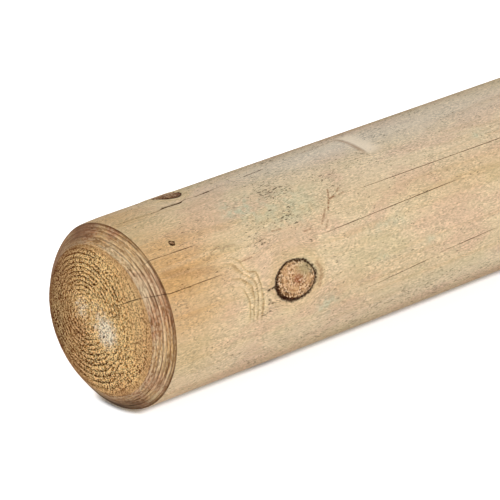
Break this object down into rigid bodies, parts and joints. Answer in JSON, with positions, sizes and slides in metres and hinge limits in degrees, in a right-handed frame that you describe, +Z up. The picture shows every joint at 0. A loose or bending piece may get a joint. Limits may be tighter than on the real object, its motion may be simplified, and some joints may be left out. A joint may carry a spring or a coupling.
{
  "type": "round wooden post",
  "caption": "Straight round softwood post, turned to one diameter and chamfered at both ends, that stands in the ground or a socket and carries rails, wire or a sign.",
  "frame": {"origin": "centre of the flat foot face, on the post's axis", "axes": "+Z up along the post's axis, from the foot to the top; X and Y square to it, with -Y the side that carries the large knot"},
  "size_m": [0.1, 0.0998, 1.5],
  "materials": {
    "turned_softwood": "machine-turned, unpainted, lightly weathered treated softwood"
  },
  "bodies": {
    "root": {"post": "turned_softwood"}
  },
  "joints": []
}
